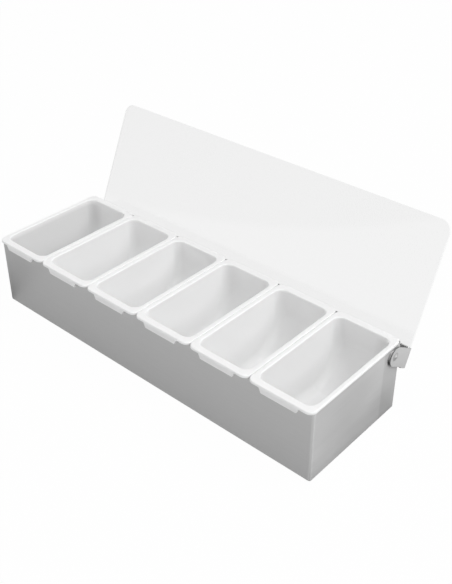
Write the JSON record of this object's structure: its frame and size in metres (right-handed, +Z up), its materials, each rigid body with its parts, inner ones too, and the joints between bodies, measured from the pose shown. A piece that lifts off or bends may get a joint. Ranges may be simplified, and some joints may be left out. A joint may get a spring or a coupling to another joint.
{
  "type": "condiment caddy",
  "caption": "Long brushed steel condiment caddy with scooped lift-out plastic inserts side by side and one flat clear lid hinged at the rear.",
  "frame": {"origin": "on the counter, in the plane of the four feet's undersides, below the centre of the steel case", "axes": "+X along the caddy's length, +Y from its front to its hinged rear, +Z up"},
  "size_m": [0.4896, 0.2292, 0.2016],
  "materials": {
    "brushed_steel": "brushed along the length",
    "rivet_steel": "plain bright",
    "white_plastic": "satin moulded",
    "clear_plastic": "clear polycarbonate sheet, polished",
    "foot_rubber": "matt"
  },
  "bodies": {
    "case": {"case": "brushed_steel", "foot_front_left": "foot_rubber", "foot_front_right": "foot_rubber", "foot_rear_left": "foot_rubber", "foot_rear_right": "foot_rubber", "pivot_rivet_left": "rivet_steel", "pivot_spacer_left": "rivet_steel", "pivot_rivet_right": "rivet_steel", "pivot_spacer_right": "rivet_steel"},
    "lid": {"hinge_bracket": "brushed_steel", "lid_sheet": "clear_plastic", "lid_rivets": "rivet_steel"},
    "insert_1": {"insert_1": "white_plastic"},
    "insert_2": {"insert_2": "white_plastic"},
    "insert_3": {"insert_3": "white_plastic"},
    "insert_4": {"insert_4": "white_plastic"},
    "insert_5": {"insert_5": "white_plastic"},
    "insert_6": {"insert_6": "white_plastic"}
  },
  "joints": [
    {"name": "lid_hinge", "type": "hinge", "parent": "case", "child": "lid", "pos_m": [0, 0.0618, 0.0792], "axis": [-1, 0, 0], "range_deg": [-119.4, 0]},
    {"name": "insert_1_lift", "type": "slide", "parent": "case", "child": "insert_1", "axis": [0, 0, 1], "range_m": [0, 0.08]},
    {"name": "insert_2_lift", "type": "slide", "parent": "case", "child": "insert_2", "axis": [0, 0, 1], "range_m": [0, 0.08]},
    {"name": "insert_3_lift", "type": "slide", "parent": "case", "child": "insert_3", "axis": [0, 0, 1], "range_m": [0, 0.08]},
    {"name": "insert_4_lift", "type": "slide", "parent": "case", "child": "insert_4", "axis": [0, 0, 1], "range_m": [0, 0.08]},
    {"name": "insert_5_lift", "type": "slide", "parent": "case", "child": "insert_5", "axis": [0, 0, 1], "range_m": [0, 0.08]},
    {"name": "insert_6_lift", "type": "slide", "parent": "case", "child": "insert_6", "axis": [0, 0, 1], "range_m": [0, 0.08]}
  ]
}
